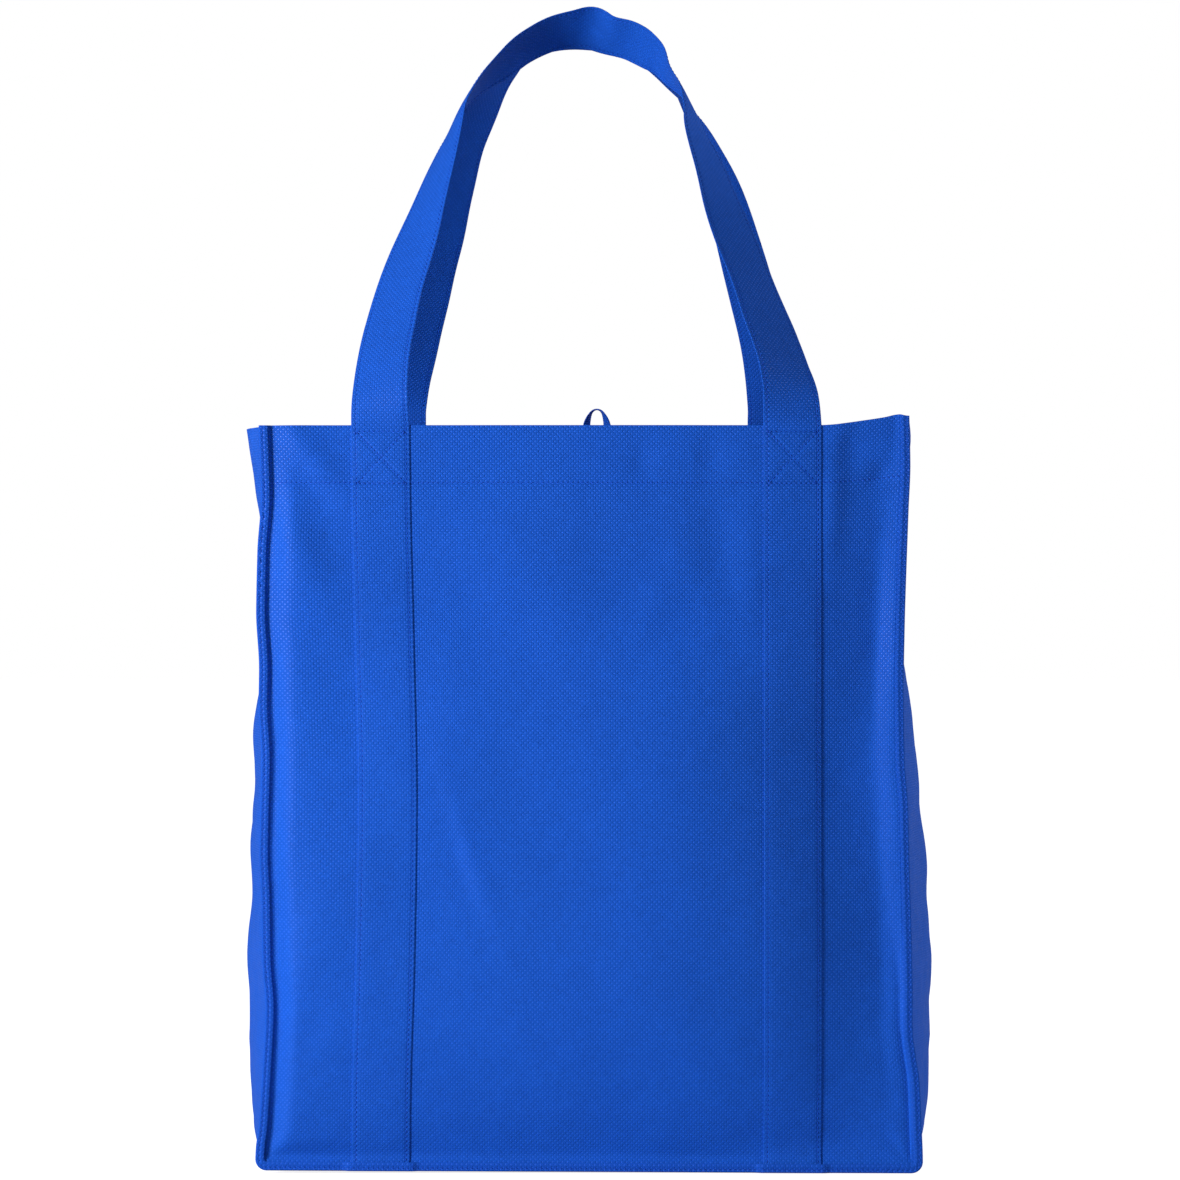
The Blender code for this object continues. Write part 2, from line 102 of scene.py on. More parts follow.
# Soft forms of the front panel: x, z, half length, half width, turn in degrees from upright, and height, all
# in millimetres
FRONT_FORMS = (
    (-147, 318, 34, 12, -20, 3.2),
    (-138, 362, 24, 8, -36, 2.3),
    (-146, 250, 60, 12, 0, 0.8),
    (-140, 106, 13, 30, 96, 2.2),
    (-140, 88, 10, 30, 96, -1.4),
    (-58, 158, 6, 40, 70, 0.9),
    (-60, 150, 9, 45, 70, -0.7),
    (34, 288, 24, 9, 33, 0.7),
    (48, 210, 75, 20, 0, 0.5),
    (66, 318, 22, 10, -6, -1.2),
    (84, 300, 38, 9, 0, 1.0),
    (28, 361, 9, 7, 0, -1.1),
    (62, 361, 9, 7, 20, -1.3),
    (133, 362, 10, 9, 30, -1.5),
    (150, 352, 10, 5, 50, -1.2),
    (125, 347, 40, 6, 4, 1.5),
    (50, 135, 130, 46, 0, 2.0),
    (134, 150, 170, 33, 0, -4.4),
    (-158, 130, 150, 50, 0, 6.4),
)
BACK_FORMS = (
    (-130, 300, 50, 18, 10, 2.0),
    (96, 250, 70, 22, -12, 1.8),
    (20, 180, 60, 14, 24, 1.2),
    (-40, 96, 12, 50, 80, -1.2),
    (120, 90, 40, 20, 10, 1.6),
    (-10, 352, 9, 12, 0, -1.1),
    (70, 360, 9, 9, 0, -1.0),
)
# The front handle's free part: place and height above the ground in millimetres, and twist in degrees
FRONT_COURSE = (
    (-104.3, -128.9, 393, 17), (-103, -121, 411, 26), (-100, -110, 429, 30), (-95.5, -98, 449, 37),
    (-87, -81, 477, 44), (-78, -63, 507, 60), (-70.6, -48, 531, 74), (-64.6, -38, 547, 86),
    (-54.8, -31, 560.5, 99), (-42.5, -25, 571.6, 112), (-31, -19, 581, 116), (-19, -15, 587.5, 121),
    (-7, -12.6, 590.6, 126), (3, -12, 591, 135), (13, -14, 587, 128), (23, -16, 584, 128),
    (32, -19, 579, 124), (38, -22, 574, 113), (44, -27, 565, 100), (51, -34, 555, 89),
    (55, -40, 545, 78), (58, -47, 533, 68), (65, -60, 512, 56), (71, -72, 492, 48),
    (77, -83, 474, 45), (84, -95, 455, 43), (91, -106, 435, 39), (96, -115, 421, 38),
    (100, -123, 408, 33), (103, -128.5, 394, 19),
)
BACK_COURSE = (
    (-104, 129, 388, 4), (-103.6, 128, 397, 9), (-100.5, 121, 412, 21), (-94.4, 108, 433, 28),
    (-88, 94, 456, 33), (-80.2, 76, 484, 38), (-72.6, 58, 512, 42), (-65.6, 44, 535, 48),
    (-56.8, 36, 552.5, 57), (-46, 27.5, 569, 70), (-32, 20, 580, 97), (-15, 14.5, 587.5, 118),
    (1, 12.5, 590.5, 132), (17, 14.5, 587.5, 122), (33, 20, 578, 114), (46, 27.5, 564, 100),
    (57, 36, 549, 82), (64.8, 44, 534, 67), (73.8, 58, 512, 52), (82.6, 76, 484, 41),
    (91, 94, 456, 33), (97.6, 108, 433, 28), (101.8, 121, 412, 21), (103.9, 128, 397, 9), (104, 129, 388, 4),
)
# The hang loop's half course above the rim: shares of the half spacing and of the rise, and twist in degrees
LOOP_COURSE = ((1.0, 0.06, 0), (1.08, 0.5, 35), (0.64, 0.88, 75))
# The edge tape's rolled front leaf and its back leaf: distance inside the seam's edge and depth behind the
# flat tape, in millimetres
FRONT_LEAF = (
    (4.5, 0.05), (4.3, -0.12), (3.9, -0.26), (3.3, -0.34), (2.7, -0.3), (2.2, -0.16), (1.85, 0.0), (1.6, 0.0),
    (1.3, -0.16), (0.9, -0.18), (0.55, 0.05), (0.32, 0.35),
)
BACK_LEAF = ((0.28, -0.3), (0.5, 0.0), (1.2, 0.12), (2.4, 0.12), (3.8, 0.0))
# Steps along the seams for the gusset and for the tape, and how far their corners reach
GUSSET_STEP = 3.2 * MM
TAPE_STEP = 1.6 * MM
CORNER = 20 * MM
# How far the hang loop's ends are tucked below the rim
LOOP_TUCK = 20 * MM
# Where the stitches run: inside the tape's edge, and to the sides of a strap's middle line
TAPE_ROW = 1.72 * MM
STRAP_ROW = 12.7 * MM
BOX_ROW = 12.4 * MM


def metres(name, about, default):
    return FloatProperty(name=name, description=about, default=default, unit="LENGTH")


def number(name, about, default):
    return FloatProperty(name=name, description=about, default=default)


def paint(name, about, default):
    return FloatVectorProperty(name=name, description=about, default=default, subtype="COLOR", size=3)


class ToteSizes(bpy.types.PropertyGroup):
    width_at_foot: metres("Width at foot", "Across the side seams at the ground", 0.336)
    width_at_rim: metres("Width at rim", "Across the side seams at the rim", 0.328)
    depth: metres("Depth", "Between the front and back seams", 0.254)
    rim_height: metres("Rim height", "From the ground to the rim", 0.378)
    hem: metres("Hem", "Fabric turned in at the rim", 0.030)
    fabric: metres("Fabric", "Thickness of one layer", 0.0005)
    swell: metres("Swell", "How far a panel stands proud of its seams", 0.016)
    seam_width: metres("Seam width", "Visible leaf of the edge tape", 0.0045)
    tape: metres("Tape", "Thickness of the edge tape", 0.0005)
    gap: metres("Gap", "Between fabrics sewn on each other", 0.0003)
    strap_width: metres("Strap width", "Width of a handle's strap", 0.0295)
    strap: metres("Strap", "Thickness of a handle's strap", 0.0009)
    strap_spacing: metres("Strap spacing", "Between a handle's two legs", 0.208)
    loop_width: metres("Loop width", "Width of the hang loop's tape", 0.0046)
    loop_tape: metres("Loop tape", "Thickness of the hang loop's tape", 0.0008)
    loop_spacing: metres("Loop spacing", "Between the hang loop's legs", 0.0104)
    loop_rise: metres("Loop rise", "From the rim to the top of the hang loop", 0.017)
    loop_place: metres("Loop place", "The hang loop's distance right of the middle", 0.0056)
    stitch: metres("Stitch", "Length of one stitch with its gap", 0.0025)
    thread: metres("Thread", "Diameter of the sewing thread", 0.0005)
    lattice: metres("Lattice", "Pitch of the embossed points", 0.00249)


class ToteColours(bpy.types.PropertyGroup):
    body: paint("Body fabric", "Panels and gusset", (0.0105, 0.102, 0.612))
    strap: paint("Strap fabric", "Handles", (0.0105, 0.100, 0.598))
    tape: paint("Tape fabric", "Edge tapes and hang loop", (0.0105, 0.094, 0.59))
    # The thread is darker than the fabric: partly its own colour, partly painted shade of the holes its
    # stitches sink into
    thread: paint("Thread", "Sewing thread", (0.010, 0.075, 0.50))
    board: paint("Board", "Stiff board in the foot", (0.35, 0.34, 0.32))


class ToteStage(bpy.types.PropertyGroup):
    distance: metres("Distance", "From the camera to the front seams", 2.58)
    height: metres("Height", "Of the camera above the ground", 0.2948)
    aside: metres("Aside", "Of the camera to the right", 0.00177)
    lens: number("Lens", "Focal length in millimetres on a 36 mm sensor", 155.85)
    key: number("Key light", "Strength of the soft far lamp at the left", 0.6)
    near: number("Near light", "Power of the soft box in front at the left", 21.4)
    fill: number("Fill light", "Power of the lamp at the right rear", 38.0)
    sky: number("Sky", "Strength of the soft light from the front", 0.23)
    backdrop: number("Backdrop", "Strength of the soft light from behind", 0.38)


def sizes():
    return bpy.context.scene.tote_sizes


def colours():
    return bpy.context.scene.tote_colours


# Shape of the bag


def eased(points):
    """A smooth curve through the points, as a function of arrays. It never overshoots a point."""
    x = np.array([p[0] for p in points], float)
    y = np.array([p[1] for p in points], float)
    rise = np.diff(y) / np.diff(x)
    slope = np.zeros(len(x))
    before, after = rise[:-1], rise[1:]
    both = before * after > 0
    slope[1:-1][both] = 2 * before[both] * after[both] / (before[both] + after[both])
    slope[0], slope[-1] = rise[0], rise[-1]
    fine = np.linspace(x[0], x[-1], 600)
    k = np.clip(np.searchsorted(x, fine, side="right") - 1, 0, len(x) - 2)
    span = x[k + 1] - x[k]
    t = (fine - x[k]) / span
    rest = 1 - t
    height = y[k] * (1 + 2 * t) * rest**2 + slope[k] * span * t * rest**2
    height += y[k + 1] * (3 - 2 * t) * t**2 - slope[k + 1] * span * t**2 * rest
    return lambda place: np.interp(place, fine, height)


def smooth(t):
    t = np.clip(t, 0.0, 1.0)
    return t * t * (3 - 2 * t)


def uneven(a, b, scale, seed):
    """Gentle unevenness between about -1 and 1, as a sum of waves of about the given length."""
    draw = np.random.default_rng(seed)
    total = np.zeros(np.broadcast(a, b).shape)
    waves = 11
    for _ in range(waves):
        turn, phase = draw.uniform(0, 2 * math.pi, 2)
        k = 2 * math.pi / (scale * draw.uniform(0.65, 1.6))
        total = total + np.sin(k * (a * math.cos(turn) + b * math.sin(turn)) + phase)
    return total / math.sqrt(waves)


swell_up = eased(SWELL_UP_THE_PANEL)
side_swells = {-1: eased(LEFT_SWELL), 1: eased(RIGHT_SWELL)}
crease_shape = eased(CREASE)
crease_places = {-1: eased(LEFT_CREASE), 1: eased(RIGHT_CREASE)}
crease_depths = {-1: eased(LEFT_DEPTH), 1: eased(RIGHT_DEPTH)}
wanders = {-1: eased(LEFT_WANDER), 1: eased(RIGHT_WANDER)}
strap_bow = eased(STRAP_BOW)
rim_flare = eased(RIM_FLARE)


def half_width(z):
    """How far a side seam's straight line lies from the middle, at a height."""
    s = sizes()
    return (s.width_at_foot + (s.width_at_rim - s.width_at_foot) * z / s.rim_height) / 2


def seam_shift(z, hand, face):
    """How far a seam's edge lies to the right of its straight line, at a height."""
    if face == FRONT:
        return -hand * wanders[hand](z / MM) * MM
    return 1.6 * MM * uneven(z, 0.3 + 0.2 * hand, 0.21, 7 + hand)


def across_shift(x, z, face):
    """How far a panel's point lies to the right of its place on the flat panel."""
    shift = 0.0
    for hand in (-1, 1):
        side = half_width(z) - hand * x
        shift = shift + seam_shift(z, hand, face) * (1 - smooth(side / 0.045))
    if face == FRONT:
        near = 1 - smooth((np.abs(x + sizes().strap_spacing / 2) - 0.016) / 0.035)
        shift = shift + strap_bow(z / MM) * MM * near
    return shift


def lift_of_rim(x, z, face):
    """How much higher a point lies because the front rises at the rim's right corner and at its left foot."""
    if face != FRONT:
        return np.zeros(np.broadcast(x, z).shape)
    share = smooth((z - FLARE_START) / (sizes().rim_height - FLARE_START))
    foot = FOOT_LIFT * np.clip(0.5 - x / LIFT_WIDTH, 0, 1) * (1 - smooth(z / LIFT_HEIGHT))
    return rim_flare(x / MM) * MM * share + foot


def soft_forms(x, z, forms):
    """How far the listed soft forms stand out of a panel, at places across and up it."""
    total = 0.0
    for at_x, at_z, length, width, turn, height in forms:
        turn = math.radians(turn)
        a = (x / MM - at_x) * math.sin(turn) + (z / MM - at_z) * math.cos(turn)
        b = (x / MM - at_x) * math.cos(turn) - (z / MM - at_z) * math.sin(turn)
        total = total + height * np.exp(-((a / length) ** 2) - (b / width) ** 2)
    return total * MM


def panel_depth(x, z, face):
    """How far a panel's middle surface lies behind the plane of its seams."""
    s = sizes()
    flange = s.tape + s.gap + s.fabric / 2
    crease = 0.0
    for hand in (-1, 1):
        side = (half_width(z) - hand * x) / MM
        deepest = BACK_CREASE + 3 * uneven(z, 0, 0.16, 3 + hand)
        beside = BACK_DEPTH
        if face == FRONT:
            deepest = crease_places[hand](z / MM)
            beside = crease_depths[hand](z / MM)
        inward = CREASE_START + (side - CREASE_START) * CREASE_RUN / (deepest - CREASE_START)
        near = np.where(side < CREASE_START, side, inward)
        which = smooth((z / MM - side) / 12 + 0.5)
        valley = FOOT_DEPTH + (beside - FOOT_DEPTH) * which
        low = np.where(z / MM < side, crease_shape(z / MM), crease_shape(near))
        crease = np.maximum(crease, valley * low * MM)
    flat = half_width(z) - 6.2 * MM
    across = np.maximum(0.0, 1 - (np.abs(x) / flat) ** np.where(x < 0, 1.7, 2.2))
    swell = s.swell * across * swell_up(z / s.rim_height)
    inner = smooth((np.minimum(half_width(z) - np.abs(x), z) / MM - 5.5) / 12)
    relief = soft_forms(x, z, FRONT_FORMS if face == FRONT else BACK_FORMS)
    relief = relief + 0.5 * MM * uneven(x, z, 0.085, 20 + face)
    relief = relief + 0.10 * MM * uneven(x, z, 0.022, 30 + face)
    hem_row = s.rim_height - s.hem + 1.0 * MM
    pucker = 0.36 * MM * np.exp(-(((z - hem_row) / (1.5 * MM)) ** 2))
    return flange + crease - swell + (pucker - relief) * inner


def panel_surface(x, z, face):
    """Points of a panel's middle surface, for places across and up the flat panel."""
    x, z = np.broadcast_arrays(np.asarray(x, float), np.asarray(z, float))
    depth = panel_depth(x, z, face)
    y = face * (sizes().depth / 2 - depth)
    return np.stack([x + across_shift(x, z, face), y, z + lift_of_rim(x, z, face)], -1)


def panel_out(x, z, face):
    """Outward unit normals of a panel."""
    step = 0.6 * MM
    right = panel_surface(x + step, z, face) - panel_surface(x - step, z, face)
    up = panel_surface(x, z + step, face) - panel_surface(x, z - step, face)
    return unit(np.cross(right, up)) * -face


def unit(v):
    return v / np.maximum(np.linalg.norm(v, axis=-1, keepdims=True), 1e-12)


def rounded(side, foot):
    """Places near a lower corner, by their distances from the side and the foot, with the corner rounded."""
    radius = 6 * MM
    least = np.minimum(side, foot)
    reach = np.maximum(radius - least, 1e-9)
    apart = np.abs(side - foot)
    turn = math.pi / 4 * (1 - np.minimum(apart / reach, 1))
    near, far = radius - reach * np.cos(turn), radius - reach * np.sin(turn)
    bent = (least < radius) & (apart < reach)
    side_is_near = side <= foot
    new_side = np.where(bent, np.where(side_is_near, near, far), side)
    new_foot = np.where(bent, np.where(side_is_near, far, near), foot)
    return new_side, new_foot


# Meshes


def new_mesh(name, verts, faces, weave=None, sharp=50):
    """An object from arrays. weave gives each vertex its place on the flat fabric, in metres."""
    mesh = bpy.data.meshes.new(name)
    mesh.from_pydata(verts.tolist(), [], faces.tolist() if hasattr(faces, "tolist") else faces)
    if weave is not None:
        index = np.empty(len(mesh.loops), np.int64)
        mesh.loops.foreach_get("vertex_index", index)
        layer = mesh.uv_layers.new(name="weave")
        layer.data.foreach_set("uv", weave[index].astype(np.float32).ravel())
    mesh.shade_smooth()
    mesh.set_sharp_from_angle(angle=math.radians(sharp))
    made = bpy.data.objects.new(name, mesh)
    bpy.context.collection.objects.link(made)
    return made


def places(across, up):
    """A grid of places on the flat fabric, from its columns and its rows."""
    return np.stack(np.broadcast_arrays(across[None, :], up[:, None]), -1)


def grid_normals(grid):
    return unit(np.cross(np.gradient(grid, axis=0), np.gradient(grid, axis=1)))


def thick_sheet(name, grid, over, under, weave, toward):
    """A sheet with two faces and its edges closed, round a grid of points.

    over and under are its faces' distances from the grid, on the side that toward points to and behind it.
    """
    rows, columns = grid.shape[:2]
    normal = grid_normals(grid)
    outward = (normal * toward).sum() > 0
    if not outward:
        normal = -normal
    over = np.broadcast_to(over, (rows, columns))[..., None]
    under = np.broadcast_to(under, (rows, columns))[..., None]
    verts = np.concatenate([(grid + normal * over).reshape(-1, 3), (grid - normal * under).reshape(-1, 3)])
    index = np.arange(rows * columns).reshape(rows, columns)
    a, b, c, d = index[:-1, :-1], index[1:, :-1], index[1:, 1:], index[:-1, 1:]
    top = np.stack([a, b, c, d], -1).reshape(-1, 4)
    if not outward:
        top = top[:, ::-1]
    bottom = top[:, ::-1] + rows * columns
    ring = np.concatenate([index[:, 0], index[-1, 1:], index[-2::-1, -1], index[0, -2:0:-1]])
    after = np.roll(ring, -1)
    wall = np.stack([after, ring, ring + rows * columns, after + rows * columns], -1)
    if not outward:
        wall = wall[:, ::-1]
    flat = np.concatenate([weave.reshape(-1, 2)] * 2)
    return new_mesh(name, verts, np.concatenate([top, bottom, wall]), flat)


def spaced(stations, start, end, step):
    """Stations near an edge, then even steps, then the same stations mirrored."""
    first, last = start + stations[-1], end - stations[-1]
    middle = np.linspace(first, last, max(2, int(round((last - first) / step)) + 1))[1:-1]
    near = start + np.array(stations)
    return np.concatenate([near, middle, (end - np.array(stations))[::-1]])


SEAM_STEPS = np.array([0.8, 1.8, 2.8, 3.8, 4.8, 5.5, 6.2, 7.4, 8.6, 10, 12, 14]) * MM


def panel_rows():
    """Heights of a panel's rows, closest along the foot and where the hem is sewn."""
    s = sizes()
    line = s.rim_height - s.hem
    low = spaced(SEAM_STEPS, 0, line - 1.2 * MM, 2.3 * MM)
    low = low[low < line - 3 * MM]
    turn = line + np.array([-1.4, -0.5, -0.05, 0.4, 1.0, 1.6, 2.6]) * MM
    hem = np.linspace(line + 4.6 * MM, s.rim_height - 0.4 * MM, 13)
    return np.concatenate([low, turn, hem, [s.rim_height]])


def panel(name, face):
    """A panel with rounded lower corners and a rim turned in to a hem."""
    s = sizes()
    z = panel_rows()
    middle = spaced(SEAM_STEPS, -half_width(0.0), half_width(0.0), 2.3 * MM)
    share = np.clip(middle / (half_width(0.0) - SEAM_STEPS[-1]), -1, 1)
    side = half_width(0.0) - np.abs(middle)
    zz, _ = np.meshgrid(z, middle, indexing="ij")
    inside = (half_width(zz) - SEAM_STEPS[-1]) * share
    near = np.sign(middle) * (half_width(zz) - side)
    xx = np.where(side < SEAM_STEPS[-1], near, inside)
    grid = panel_surface(xx, zz, face)
    bent_side, bent_foot = rounded(half_width(zz) - np.abs(xx), zz)
    grid[..., 0] += np.sign(xx) * (half_width(zz) - np.abs(xx) - bent_side)
    grid[..., 2] += bent_foot - zz
    in_hem = zz > s.rim_height - s.hem - 0.1 * MM
    crown = np.where(zz > s.rim_height - 0.2 * MM, 0.55, 1.0)
    over = s.fabric / 2 * crown
    under = (s.fabric / 2 + s.fabric * in_hem) * crown
    weave = np.stack([xx, zz], -1)
    made = thick_sheet(name, grid, over, under, weave, np.array([0, face, 0]))
    dress(made, "body_fabric", name.replace("_sheet", ""))


def seam_line(inset, step):
    """A line round a seam at a distance inside its edge, as places across and up the panel.

    It runs down the left side, along the foot and up the right side.
    """
    top = sizes().rim_height
    down = np.linspace(top, CORNER, int((top - CORNER) / step))
    corner = np.linspace(CORNER, inset, 16)[1:]
    z = np.concatenate([down, corner])
    bent_side, bent_z = rounded(np.full(len(z), inset), z)
    left = np.stack([-(half_width(bent_z) - bent_side), bent_z], -1)
    turn = np.linspace(inset, CORNER, 16)[1:]
    bent_side, bent_z = rounded(turn, np.full(len(turn), inset))
    near = np.stack([-(half_width(bent_z) - bent_side), bent_z], -1)
    end = half_width(0.0) - CORNER
    foot_x = np.linspace(-end, end, int(2 * end / step))[1:-1]
    foot = np.stack([foot_x, np.full(len(foot_x), inset)], -1)
    half = np.concatenate([left, near])
    right = half[::-1] * np.array([-1, 1])
    return np.concatenate([half, foot, right])


def place_seam(line, depth, face):
    """Points in space of a seam's line, which shifts as the panel's edge does, behind the seam's plane."""
    x, z = line[:, 0], line[:, 1]
    y = face * (sizes().depth / 2 - depth)
    return np.stack([x + across_shift(x, z, face), y + 0 * x, z + lift_of_rim(x, z, face)], -1)


def along(points):
    """Each point's distance along a line."""
    return np.concatenate([[0], np.cumsum(np.linalg.norm(np.diff(points, axis=0), axis=-1))])


def hem_shift(z):
    """How far the gusset has stepped aside for the panel's hem, at a height, as a share."""
    s = sizes()
    return smooth((z - (s.rim_height - s.hem - 8 * MM)) / (8 * MM))


def leaf_points(inset, step, depth, face):
    """Points of a line round a seam behind the panel, which makes room for the panel's hem near the rim."""
    line = seam_line(inset, step)
    return place_seam(line, depth + sizes().fabric * 2 * hem_shift(line[:, 1]), face)


def gusset():
    """One strip of fabric up the left side, under the foot and up the right side."""
    s = sizes()
    wall = s.seam_width + 0.4 * MM
    edge = s.tape + s.gap
    behind = edge + s.fabric * 1.5 + s.gap
    flange = [(edge, 0.0), (edge + 1.6 * MM, 0.0), (wall - 1.2 * MM, 0.0)]
    flange += [(wall - 0.5 * MM, 0.25 * MM), (wall, 1.2 * MM)]
    across = np.linspace(-1, 1, 77)[1:-1]
    columns = [leaf_points(inset, GUSSET_STEP, behind + deeper, FRONT) for inset, deeper in flange]
    base = seam_line(wall, GUSSET_STEP)
    x, z = base[:, 0], base[:, 1]
    hand = np.where(x < 0, -1, 1)
    front = place_seam(base, behind + 1.2 * MM, FRONT)
    back = place_seam(base, behind + 1.2 * MM, BACK)
    run = along(base)
    upright = np.abs(x) > half_width(z) - 12 * MM
    inner_foot = np.abs(x) < half_width(0.0) - 14 * MM
    on_side = smooth((z - 8 * MM) / (14 * MM)) * upright
    swell = np.where(hand < 0, side_swells[-1](z / s.rim_height), side_swells[1](z / s.rim_height)) * MM
    swell = (swell + s.seam_width) * np.clip(z / (10 * MM), 0, 1) * upright
    for t in across:
        share = (t + 1) / 2
        point = front * (1 - share) + back * share
        y = point[:, 1]
        bow = 1 - np.abs(t) ** 2.6
        free = 1 - np.abs(t) ** 6
        rim = smooth((z - 0.25) / 0.12)
        bulge = 1 + rim * 0.35 * np.exp(-(((y + 0.055) / 0.045) ** 2))
        bulge = bulge - rim * 0.3 * np.exp(-((y / 0.03) ** 2))
        fold = uneven(y, run, 0.07, 40) * 0.9 * MM + uneven(y, run, 0.022, 41) * 0.2 * MM
        pleat = -2.2 * MM * np.exp(-((y / (7 * MM)) ** 2)) * smooth((z - 0.05) / 0.2)
        point[:, 0] += hand * (swell * bow * bulge + (fold + pleat) * on_side * free)
        sag = 0.5 * MM * uneven(x, y, 0.09, 44) * (1 - on_side) * free * inner_foot
        point[:, 2] += np.abs(sag) * -0.4
        columns.append(point)
    columns += [leaf_points(inset, GUSSET_STEP, behind + deeper, BACK) for inset, deeper in reversed(flange)]
    grid = np.stack(columns, 1)
    one_row = grid[40]
    breadth = along(one_row)
    weave = places(breadth - breadth[-1] / 2, run)
    in_hem = np.broadcast_to((z > s.rim_height - s.hem)[:, None], grid.shape[:2])
    toward = np.zeros_like(grid)
    toward[..., 0] = np.where(np.abs(grid[..., 0]) > half_width(0.0) - 15 * MM, np.sign(grid[..., 0]), 0)
    toward[..., 2] = np.where(grid[..., 2] < 10 * MM, -1.0, 0)
    made = thick_sheet("gusset_sheet", grid, s.fabric / 2, s.fabric / 2 + s.fabric * in_hem, weave, toward)
    dress(made, "body_fabric", "gusset")


def strap_lift(x, z):
    """How far the tape's front leaf is raised over a strap's lower end."""
    s = sizes()
    beyond = np.abs(np.abs(x) - s.strap_spacing / 2) - s.strap_width / 2 - 0.9 * MM
    low = z < s.seam_width + 1.0 * MM
    return np.where(low, (s.strap + s.gap) * smooth(1 - beyond / (3.2 * MM)), 0.0)


def tape_pucker(run, x, z, face):
    """Height of the small slanting wrinkles along the tape, strongest high on the left."""
    strong = 0.05 + 0.38 * smooth((z - 0.26) / 0.03) * (1 - smooth((z - 0.345) / 0.012)) * (x < 0)
    wave = np.sin(2 * math.pi * run / (5.6 * MM) + 1.5 * uneven(run, 0, 0.03, 50 + face))
    return strong * wave * MM


def edge_tape(name, face):
    """A tape folded round the edges of a panel and the gusset, with a rolled front leaf."""
    s = sizes()
    middle = s.tape / 2
    stack = s.tape + 3 * s.gap + 2 * s.fabric
    columns, shares = [], []
    for inset, deep in FRONT_LEAF:
        line = seam_line(inset * MM, TAPE_STEP)
        bead = (min(inset, 4.4) - 0.3) / 4.2
        slant = along(line) + inset * 0.9 * MM
        ripple = tape_pucker(slant, line[:, 0], line[:, 1], face) * math.sin(math.pi * bead) ** 0.5
        depth = middle + deep * MM - strap_lift(line[:, 0], line[:, 1]) - ripple
        columns.append(place_seam(line, depth, face))
        shares.append(inset * MM)
    for inset, deep in BACK_LEAF:
        columns.append(leaf_points(inset * MM, TAPE_STEP, stack + middle + deep * MM, face))
        shares.append(-inset * MM)
    grid = np.stack(columns, 1)
    run = along(seam_line(2 * MM, TAPE_STEP))
    weave = places(np.array(shares), run)
    toward = np.zeros_like(grid)
    toward[:, : len(FRONT_LEAF), 1] = face
    made = thick_sheet(name, grid, middle, middle, weave, toward)
    dress(made, "tape_fabric", name.replace("_strip", ""))


def through(points, count):
    """Points evenly spaced on a smooth curve through the given rows, judged by their first three values."""
    points = np.asarray(points, float)
    padded = np.concatenate([points[:1] * 2 - points[1:2], points, points[-1:] * 2 - points[-2:-1]])
    t = np.linspace(0, 1, 25)[:-1, None]
    fine = []
    for a, b, c, d in zip(padded, padded[1:], padded[2:], padded[3:]):
        slope, bend, twist = c - a, 2 * a - 5 * b + 4 * c - d, 3 * b - a - 3 * c + d
        fine.append(0.5 * (2 * b + slope * t + bend * t**2 + twist * t**3))
    fine = np.concatenate(fine + [points[-1:]])
    run = along(fine[:, :3])
    even = np.linspace(0, run[-1], count)
    return np.stack([np.interp(even, run, fine[:, k]) for k in range(points.shape[1])], -1)


def ribbon_frames(course, face):
    """Unit vectors across a ribbon and out of it, for a course of points with twists."""
    centre, twist = course[:, :3], course[:, 3]
    forward = unit(np.gradient(centre, axis=0))
    rear = np.array([0.0, -face, 0.0])
    rear = unit(rear - forward * (rear * forward).sum(-1, keepdims=True))
    inner = np.cross(rear, forward) * -face
    across = inner * np.cos(twist)[:, None] - rear * np.sin(twist)[:, None]
    out = -rear * np.cos(twist)[:, None] - inner * np.sin(twist)[:, None]
    return across, out


def strap_columns():
    """Places across a strap, closest at its edges and its rows of stitches."""
    half = sizes().strap_width / 2 / MM
    right = np.append(np.arange(0, 11.6, 0.8), [11.9, 12.4, 12.7, 13.0, 13.5, 14.1, 14.5, half]).tolist()
    return np.array([-c for c in right[:0:-1]] + right) * MM


def strap_sections(columns):
    """Half the thickness of a strap across its width, and its stitched grooves."""
    s = sizes()
    half = s.strap_width / 2
    edge = np.clip(np.abs(columns) / half, 0, 1)
    body = s.strap / 2 * (0.35 + 0.65 * np.sqrt(np.maximum(0, 1 - edge**14)))
    groove = 0.2 * MM * np.exp(-(((np.abs(columns) - STRAP_ROW) / (0.55 * MM)) ** 2))
    return body - groove


def strap_heights():
    """Heights of the rows of a strap's sewn part, closest where the box is sewn below the rim."""
    s = sizes()
    box = (s.rim_height - s.hem) / MM - 2.5
    rim = s.rim_height / MM - 1.2
    rows = [np.linspace(2.2, 14, 8), np.linspace(16.4, box - 0.8, 126), np.linspace(box, rim, 42)]
    return np.concatenate(rows) * MM


def strap_places(hand):
    """Places across and up the panel of the points of a strap's sewn part."""
    leg = hand * sizes().strap_spacing / 2
    return np.meshgrid(leg - hand * strap_columns(), strap_heights(), indexing="xy")


def box_lines(hand):
    """The ends of a box's rows across and its two diagonals, as places across and up the panel."""
    s = sizes()
    low, high = s.rim_height - s.hem + 0.5 * MM, s.rim_height - 3.2 * MM
    left, right = hand * s.strap_spacing / 2 - BOX_ROW, hand * s.strap_spacing / 2 + BOX_ROW
    across = [((left, low), (right, low)), ((left, high), (right, high))]
    return across + [((left, low), (right, high)), ((left, high), (right, low))]


